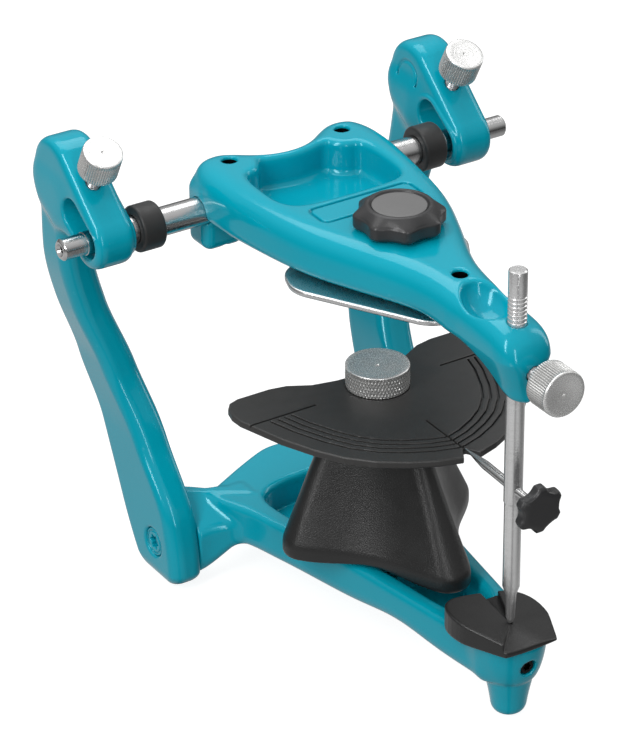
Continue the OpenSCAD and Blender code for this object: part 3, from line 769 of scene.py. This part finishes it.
def straight_knurl(radius, teeth, depth, low, high):
    """Ripple with upright ridges between two heights."""
    def ripple(r, z, ang):
        on = np.clip((r - (radius - 0.35)) / 0.3, 0, 1) * (low <= z <= high)
        wave = saw(ang * teeth / (2 * math.pi))
        return np.full(len(ang), r) - on * depth * np.clip(wave * 1.3, 0, 1)
    return ripple


def diamond_knurl(radius, teeth, depth, low, high):
    """Ripple with crossed ridges between two heights."""
    pitch = 1.9

    def ripple(r, z, ang):
        on = float(r > radius - 0.3 and low <= z <= high)
        a = saw(ang * teeth / (2 * math.pi) + z / pitch)
        b = saw(ang * teeth / (2 * math.pi) - z / pitch)
        return np.full(len(ang), r) - on * depth * np.maximum(a, b)
    return ripple


def rows(r, z0, z1, count):
    """Evenly spaced profile points at one radius."""
    return [(r, z) for z in np.linspace(z0, z1, count)]


# ripple, depth, rows along the flank and points per tooth of each kind
KNURLS = {"straight": (straight_knurl, 0.26, 6, 8), "diamond": (diamond_knurl, 0.34, 44, 7)}


def knurled(name, radius, height, axis, face, body, node, teeth, kind, dish, plain=0.7):
    """Knob with its face at local z = 0: knurled flank, chamfers, dished and centre-drilled face."""
    knurl, depth, flank_rows, per_tooth = KNURLS[kind]
    low, high = -height + 0.45, -plain + 0.01
    profile = [(0, -height), (radius * 0.55, -height), (radius - 0.55, -height)]
    profile += [(radius - 0.2, -height + 0.25)]
    profile += rows(radius, -height + 0.5, -plain, flank_rows)
    profile += [(radius - 0.08, -plain + 0.12), (radius - 0.08, -0.32), (radius - 0.22, -0.1)]
    profile += [(radius - 0.5, 0), (radius * 0.8, -0.06), (radius * 0.5, -dish * 0.6)]
    profile += [(radius * 0.2, -dish), (0.62, -dish), (0.42, -dish - 0.35), (0, -dish - 0.6)]
    obj = lathe(name, profile, axis, face, body, KNURL, node, n=teeth * per_tooth,
                ripple=knurl(radius, teeth, depth, low, high), sharp=50)
    face_materials(obj, NICKEL, lambda c: c[2] > -plain + 0.05 and math.hypot(c[0], c[1]) < radius - 0.15)
    return obj


SIDES = (("right", 1), ("left", -1))
UP, DOWN, FORWARD, RIGHT = (0, 0, 1), (0, 0, -1), (0, -1, 0), (1, 0, 0)

for side, sign in SIDES:
    knurled(f"{side}_lock_grip", 5.5, 8.0, LOCK_DIR, LOCK_POINT * (sign, 1, 1),
            f"{side}_lock_turn", f"{side}_lock_knob", 52, "straight", 0.2)
knurled("pin_lock_grip", 6.35, 8.0, FORWARD, (0, -129.2, PIN_LOCK_Z),
        "pin_lock_turn", "pin_lock_knob", 60, "straight", 0.6)
knurled("plate_grip", 8.85, 6.5, UP, (0, PLATE_SCREW_Y, -34.53),
        "plate_screw_turn", "plate_knob", 58, "diamond", 0.7, plain=0.8)

# shaft with its stepped, centre-drilled ends
half = [(0, 68), (1.0, 68.2), (1.05, 70.2), (1.75, 70.95), (2.3, 71), (2.45, 70.95), (3.0, 70.35),
        (3.0, 63.9), (3.2, 63.8), (3.2, 50.25), (3.75, 50.2), (4.0, 49.95), (4.0, 0.5)]
lathe("hinge_rod", [(r, -z) for r, z in half] + half[::-1], RIGHT, (0, 0, 0),
      "upper_member", STEEL, "hinge_shaft", n=96, sharp=30)

collar = fillet([(4.05, 0.2), (4.3, 0), (6.0, 0), (6.5, 0.5), (6.5, 6.5), (6.0, 7), (4.3, 7),
                 (4.05, 6.8)], 0.3)
for side, sign in SIDES:
    lathe(f"{side}_collar_ring", collar, (sign, 0, 0), (sign * 41.6, 0, 0), "left_condyle",
          RUBBER, f"{side}_collar", n=80, ring=True, sharp=50)
    bore = 3.36 if sign > 0 else 3.25  # the right roller has room for the shaft's slight turn
    roller = fillet([(bore, -1.5), (3.9, -1.5), (4.35, -1.1), (4.35, 1.1), (3.9, 1.5), (bore, 1.5)], 0.15)
    lathe(f"{side}_roller_ring", roller, RIGHT, (sign * HEAD_X, 0, 0), f"{side}_condyle",
          STEEL, f"{side}_roller", n=72, ring=True)


def threaded(name, radius, pitch, length, axis, start, body, node):
    """Threaded stud: start is its inner end."""
    depth, rows_per_turn, end_taper = pitch * 0.5, 6, 0.3
    core = radius - depth
    flank = rows(radius, 0.05, length - 0.05, int(length / pitch * rows_per_turn))

    def ripple(r, z, ang):
        if r != radius:
            return r
        inside = min(max(min(z, length - z) / pitch, 0), 1)
        return r - depth * saw(z / pitch - ang / (2 * math.pi)) - (1 - inside) * end_taper

    return lathe(name, [(0, 0), (core, 0)] + flank + [(core, length), (0, length)], axis, start,
                 body, STUD, node, n=40, ripple=ripple, sharp=60)


for side, sign in SIDES:
    threaded(f"{side}_lock_thread", 2.0, 0.7, 12.9, LOCK_DIR,
             (LOCK_POINT - LOCK_DIR * LOCK_REACH) * (sign, 1, 1), f"{side}_lock_slide", f"{side}_lock_stud")
for name, radius, pitch, length, axis, start in (
        ("pin_lock", 2.0, 0.7, 15.1, FORWARD, (0, -110.85, PIN_LOCK_Z)),
        ("upper_clamp", 2.5, 0.8, 19.3, UP, (0, CLAMP_Y, -3.35)),
        ("lower_clamp", 2.5, 0.8, 24.2, UP, (0, CLAMP_Y, -101.75))):
    threaded(f"{name}_thread", radius, pitch, length, axis, start, f"{name}_slide", f"{name}_stud")
threaded("plate_thread", 2.5, 0.8, 13.7, UP, (0, PLATE_SCREW_Y, -50.85), "plate_screw_slide", "plate_stud")

# incisal rod with its marking rings, needle flat and turned tip
ROD_R = 2.5
rod = [(0, -82.7), (0.45, -82.68), (0.75, -82.1), (1.25, -80.8), (1.5, -73.8), (2.3, -71.3), (2.3, -47)]
rod += rows(2.3, -46.6, -46, 2) + rows(ROD_R, -45.6, -36, 20) + [(ROD_R, z) for z in (-30, -10, 6.8)]
for k in range(7):
    z = 7.3 + 1.15 * k
    ring = [(ROD_R, 0.32), (2.44, 0.22), (2.25, 0.1)]
    rod += [(r, z - h) for r, h in ring] + [(r, z + h) for r, h in ring[::-1]]
rod += [(ROD_R, 15.2), (ROD_R, 20.9), (2.42, 21.2), (2.05, 21.5), (0, 21.5)]


def needle_flat(p):
    """Flat on the rod's front where the pointer sits."""
    middle, half_length, depth_y = -41.6, 4.2, -1.9
    on = (np.abs(p[:, 2] - middle) < half_length) & (p[:, 1] < depth_y)
    p[on, 1] = depth_y
    return p


lathe("incisal_rod_body", rod, UP, (0, PIN_Y, 0), "incisal_rod", ROD,
      "incisal_pin", n=72, change=needle_flat, sharp=30)

DIP = math.radians(2.7)
NEEDLE_DIR = np.array([0, -math.cos(DIP), -math.sin(DIP)])
NEEDLE_TIP = np.array([0, -86.4, -40.7])
GRIP_START = 31  # from the needle's tip to the pointer knob
needle = [(0, 0), (0.1, 0.06), (0.16, 0.3), (0.45, 2.6), (0.9, 6.2), (1.16, 8.4), (1.25, 9.4), (1.25, 19.0),
          (1.25, 24.6), (1.1, 25.0), (1.1, 30.6), (1.25, 30.9), (1.25, 33.4), (0, 33.5)]
lathe("pointer_needle", needle, NEEDLE_DIR, NEEDLE_TIP, "pointer_slide_body", STEEL,
      "incisal_pointer", n=48, sharp=30)


def lobes(radius, count, hollow, flat_to, fade):
    """Grip outline: shallow hollows between the lobes, fading out over a height above flat_to."""
    bite, blend = 1.35, 0.9
    reach = radius + hollow - bite
    step = 2 * math.pi / count

    def ripple(r, z, ang):
        if r < 1:
            return np.full(len(ang), r)
        keep = 1.0 if z < flat_to else max(0.0, 1 - (z - flat_to) / fade)
        phi = (ang + step / 2) % step - step / 2
        inside = hollow ** 2 - (reach * np.sin(phi)) ** 2
        cut = reach * np.cos(phi) - np.sqrt(np.maximum(inside, 0))
        edge = smin(np.full(len(ang), radius), np.where(inside > 0, cut, 1e3), blend)
        return r - (radius - edge) * keep * min(r / radius, 1)
    return ripple


STAR_R, STAR_SEAT = 12.35, 11.1
star = fillet([(0, 0), (8.5, 0), (STAR_R - 0.9, 0.1), (STAR_R, 0.9), (STAR_R, 3.9), (STAR_R - 0.7, 4.5),
               (9.0, 6.3), (8.6, 6.5), (8.0, 6.5), (7.7, 6.2), (7.55, 5.85), (7.0, 5.8), (0, 5.8)], 0.45, 4)
lathe("upper_clamp_grip", star, UP, (0, CLAMP_Y, STAR_SEAT), "upper_clamp_turn", KNOB,
      "upper_clamp_knob", n=192, ripple=lobes(STAR_R, 8, 8.0, 4.2, 1.9), sharp=50)
cap = fillet([(0, 5.82), (7.2, 5.82), (7.35, 5.95), (7.2, 6.1), (6.6, 6.16), (0, 6.17)], 0.15)
lathe("upper_clamp_cap", cap, UP, (0, CLAMP_Y, STAR_SEAT), "upper_clamp_turn", CAP,
      "upper_knob_cap", n=96)

GRIP_R = 6.9
grip = fillet([(0, 0), (2.4, 0), (3.4, 0.25), (GRIP_R - 0.8, 0.35), (GRIP_R, 1.0), (GRIP_R, 3.1),
               (GRIP_R - 0.75, 3.8), (4.6, 4.0), (0, 4.0)], 0.5, 4)
lathe("pointer_grip", grip, NEEDLE_DIR, NEEDLE_TIP + NEEDLE_DIR * GRIP_START, "pointer_turn_body", KNOB,
      "pointer_knob", n=144, ripple=lobes(GRIP_R, 6, 3.4, 3.6, 0.5), sharp=50)

LOW_R, LOW_TEETH = 6.0, 38
low_grip = [(0, 0), (5.4, 0), (5.8, 0.25)] + rows(LOW_R, 0.45, 3.1, 20)
low_grip += [(5.8, 3.4), (5.4, 3.6), (3.5, 3.5), (2.5, 3.2), (0, 3.2)]
lathe("lower_clamp_grip", low_grip, DOWN, (0, CLAMP_Y, -99.1), "lower_clamp_turn", OXIDE,
      "lower_clamp_knob", n=LOW_TEETH * 7, ripple=diamond_knurl(LOW_R, LOW_TEETH, 0.3, 0.4, 3.15), sharp=50)

# ---------------------------------------------------------------- plates and small screws

MOUNT_CORE = [(-17.2, -42.8), (-18, -45.2), (-2, -73.2), (2, -73.2), (18, -45.2), (17.2, -42.8)]


def mount_field(x, y, z):
    """Upper mounting plate with its spigot."""
    d = plan(MOUNT_CORE, x, y) - 9
    d = smax(d, np.abs(z + 4.4) - 0.8, 0.5)
    c = np.hypot(x, y - CLAMP_Y)
    d = np.minimum(d, np.maximum(c - 6, np.maximum(z - 0.6, -z - 5)))
    return less(d, np.maximum(c - 2.55, -3.6 - z))


FRONT_EDGE = [(41.6, -42), (40.4, -46), (37.5, -56), (33.4, -65.5), (29, -73), (23, -79.5),
              (16, -84.3), (9, -87.8), (2.6, -89.8)]
PLATE_OUTLINE = mirrored([
    (0, -37.5), (8, -37), (15, -35.5), (21, -32.2), (26, -31.2), (36, -31.2), (39, -32.2),
    (40.9, -34.6), (41.8, -38)] + FRONT_EDGE + [(0.5, -86.2), (0, -86.1)])
PLATE_TOP = -40.9
RINGS = (5.2, 7.3, 9.4, 11.5)  # grooves along the front edge, by their distance from it


def occlusal_field(x, y, z):
    """Occlusal plate with its grooves and the knob's seat."""
    grid = x.ndim == 3
    ax, yy = (np.abs(x[:, :, 0]), y[:, :, 0]) if grid else (np.abs(x), y)
    path = FRONT_EDGE + [(0, -90.2)]
    edge = np.min([seg_dist(ax, yy, a, b) for a, b in zip(path, path[1:])], axis=0)
    outline = plan(PLATE_OUTLINE, ax, yy)
    groove = np.min([np.abs(edge - ring) for ring in RINGS], axis=0)
    groove = np.maximum(groove, yy + 46.7)
    groove = np.maximum(groove, np.where(outline < 0, -9, 9))
    across, along = seg_dist(ax, yy, (20.1, -45.4), (42, -45.4)), seg_dist(ax, yy, (0, -68.5), (0, -87))
    groove = np.minimum(groove, np.minimum(across, along)) - 0.3
    if grid:
        groove, outline = groove[:, :, None], outline[:, :, None]
    d = smax(outline, np.abs(z - PLATE_TOP + 1) - 1, 0.45)
    d = less(d, np.maximum(groove, PLATE_TOP - 0.8 - z), 0.1)
    knob = np.hypot(x, y - PLATE_SCREW_Y)
    d = less(d, np.maximum(knob - 9.0, PLATE_TOP - 0.15 - z))
    return less(d, knob - 2.7)


def socket(y, z, size):
    """Six-lobed driver socket."""
    ang, r = np.arctan2(z, y), np.hypot(y, z)
    return r - size * (1 + 0.16 * np.cos(6 * ang))


def post_screw_field(x, y, z):
    """Screw through the right post's foot: head with a ring and a socket, and its shank."""
    r = np.hypot(y - SCREW_Y, z - SCREW_Z)
    d = smax(r - 4.2, np.abs(x - 44.75) - 1.08, 0.7)
    d = less(d, smax(np.abs(r - 3.3) - 0.22, 45.5 - x, 0.1), 0.2)
    d = np.minimum(d, np.maximum(r - 1.95, np.abs(x - 36) - 8))
    return less(d, np.maximum(socket(y - SCREW_Y, z - SCREW_Z, 1.9), 44.2 - x), 0.25)


def set_screw_field(x, y, z):
    """Headless screw in the lower frame's front block."""
    r = np.hypot(x, z - SET_SCREW_Z)
    d = smax(r - 2.0, np.abs(y + 114.9) - 1.5, 0.35)
    return less(d, np.maximum(socket(x, z - SET_SCREW_Z, 1.05), y + 115.0), 0.15)


PLATES = [
    ("upper_plate", mount_field, (-28.8, -89.2, -5.3), (28.8, -33.8, 0.8), 0.4,
     "upper_member", PLATE, "polished_steel", "upper_mount_plate"),
    ("occlusal_table_plate", occlusal_field, (-42, -90, -43), (42, -31, -40.8), 0.27,
     "lower_member", SATIN, "black_plate", "occlusal_plate"),
    ("table_screw_body", set_screw_field, (-2.1, -116.5, -94.3), (2.1, -113.3, -90.1), 0.13,
     "set_screw", OXIDE, "black_oxide", "table_set_screw"),
]
for name, field, lo, hi, step, body, mat, slot, node in PLATES:
    pts, faces = surface(field, lo, hi, step * COARSE)
    store_local(piece(name, pts, faces, body, mat, node, sharp=45), pts)
pts, faces = surface(post_screw_field, (28, -5.3, -102.3), (45.9, 3.3, -93.7), 0.22)
other, other_faces = flip_x(pts, faces)
both = np.vstack([pts, other])
both_faces = list(faces) + [tuple(v + len(pts) for v in f) for f in other_faces]
made = piece("post_screw_pair", both, both_faces, "lower_member", ENAMEL, "post_screws", sharp=45)
store_local(made, both)

# hidden fasteners keep their CAD solids
HIDDEN = {"post_dowels": STUD, "plinth_inserts": STUD, "plate_dowels": STUD, "shaft_grub_screws": OXIDE}
for node, mat in HIDDEN.items():
    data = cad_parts[node].data
    data.materials.clear()
    data.materials.append(mat)

# ---------------------------------------------------------------- stage, lights and camera


def pale_floor():
    """Pale floor that lights itself, so that no light falls off towards the back."""
    m = Net("pale_floor")
    m.set(Base_Color=m.mix(m.noise(2, 2), (0.24, 0.24, 0.24), (0.26, 0.26, 0.26)), Roughness=0.7)
    m.set(Emission_Color=(1.0, 1.0, 1.0), Emission_Strength=0.88)
    mesh = bpy.data.meshes.new("floor")
    half_side = 4.0
    corners = [(x * half_side, y * half_side, 0.0) for x, y in ((-1, -1), (1, -1), (1, 1), (-1, 1))]
    mesh.from_pydata(corners, [], [(0, 1, 2, 3)])
    obj = bpy.data.objects.new("floor", mesh)
    mesh.materials.append(m.mat)
    bpy.context.scene.collection.objects.link(obj)
    obj.visible_glossy = False
    obj.visible_diffuse = False


pale_floor()
MIDDLE = Vector(HINGE) + Vector((0, -0.05, -0.05))  # of the object, in metres


def softbox(name, direction, distance, size, power):
    """Soft light that faces the middle of the object."""
    light = bpy.data.lights.new(name, "AREA")
    light.shape = "RECTANGLE"
    light.size, light.size_y = size
    light.energy = power
    obj = bpy.data.objects.new(name, light)
    d = Vector(direction).normalized()
    obj.location = MIDDLE + d * distance
    obj.rotation_euler = d.to_track_quat("Z", "Y").to_euler()
    bpy.context.scene.collection.objects.link(obj)


softbox("key_left", (-1.2, -0.35, 0.9), 1.0, (0.18, 0.8), 5.2)
softbox("top", (0.1, 0.6, 1.6), 1.0, (0.9, 0.6), 4.4)
softbox("front_fill", (-0.5, -1.3, 0.45), 1.2, (0.12, 0.8), 2.4)
softbox("right_rim", (1.3, -0.1, 0.5), 1.0, (0.25, 0.9), 1.5)

world = bpy.data.worlds.new("studio")
bpy.context.scene.world = world
world.use_nodes = True
tree = world.node_tree


def spread(value, low, high):
    """The value's range from low to high, as 0 to 1."""
    n = tree.nodes.new("ShaderNodeMapRange")
    n.inputs["From Min"].default_value, n.inputs["From Max"].default_value = low, high
    tree.links.new(value, n.inputs["Value"])
    return n.outputs["Result"]


def tones(value, first, last, between):
    """Grey bands over a value from -1 to 1."""
    n = tree.nodes.new("ShaderNodeValToRGB")
    stops = n.color_ramp.elements
    stops[0].color = (first, first, first, 1)
    stops[1].color = (last, last, last, 1)
    for place, tone in between:
        stops.new(place).color = (tone, tone, tone, 1)
    tree.links.new(spread(value, -1.0, 1.0), n.inputs["Fac"])
    return n.outputs["Color"]


# Bands that the metal reflects: level ones above the horizon, upright ones below it
coord = tree.nodes.new("ShaderNodeTexCoord").outputs["Generated"]
split = tree.nodes.new("ShaderNodeSeparateXYZ")
tree.links.new(coord, split.inputs[0])
level_bands = tones(split.outputs["Z"], 0.5, 1.0,
                    ((0.18, 0.75), (0.34, 0.75), (0.44, 0.2), (0.56, 0.2), (0.72, 0.6)))
across = tree.nodes.new("ShaderNodeVectorMath")
across.operation = "DOT_PRODUCT"
across.inputs[1].default_value = (0.845, -0.534, 0)
tree.links.new(coord, across.inputs[0])
upright_bands = tones(across.outputs["Value"], 0.45, 0.2,
                      ((0.1, 1.0), (0.42, 1.0), (0.47, 0.3), (0.53, 0.3), (0.58, 0.85), (0.8, 0.8),
                       (0.92, 0.25)))
blend = tree.nodes.new("ShaderNodeMix")
blend.data_type, blend.blend_type = "RGBA", "MULTIPLY"
tree.links.new(spread(split.outputs["Z"], 0.1, -0.1), blend.inputs[0])
tree.links.new(level_bands, blend.inputs[6])
tree.links.new(upright_bands, blend.inputs[7])
backdrop = tree.nodes["Background"]
tree.links.new(blend.outputs[2], backdrop.inputs["Color"])
backdrop.inputs["Strength"].default_value = 0.8

# Camera: distances in millimetres from the hinge axis, shifts and focal length in picture units
AZIMUTH, ELEVATION, ROLL = (math.radians(v) for v in (-32.314, 29.031, -0.358))
DISTANCE, SIDE, RISE = 1012.12, 8.804, -51.262
FOCAL_PX, LONG_SIDE, SENSOR = 3711.267, 750, 36.0
SHIFT_PX = (11.018, -1.347)
level = Vector((math.cos(AZIMUTH), math.sin(AZIMUTH), 0))
reach = math.cos(ELEVATION)
back_dir = Vector((math.sin(AZIMUTH) * reach, -math.cos(AZIMUTH) * reach, math.sin(ELEVATION)))
upright = back_dir.cross(level)
right = math.cos(ROLL) * level + math.sin(ROLL) * upright
up = -math.sin(ROLL) * level + math.cos(ROLL) * upright
camera = bpy.data.cameras.new("camera")
camera.sensor_width, camera.sensor_height = SENSOR, SENSOR
camera.lens = FOCAL_PX / LONG_SIDE * SENSOR
camera.shift_x, camera.shift_y = -SHIFT_PX[0] / LONG_SIDE, SHIFT_PX[1] / LONG_SIDE
camera.clip_start, camera.clip_end = 0.05, 20
camera_obj = bpy.data.objects.new("camera", camera)
bpy.context.scene.collection.objects.link(camera_obj)
turn = Matrix((right, up, back_dir)).transposed().to_4x4()
place = Vector(HINGE) + (back_dir * DISTANCE + right * SIDE + up * RISE) * MM
camera_obj.matrix_world = Matrix.Translation(place) @ turn
bpy.context.scene.camera = camera_obj
bpy.context.scene.view_settings.view_transform = "Standard"
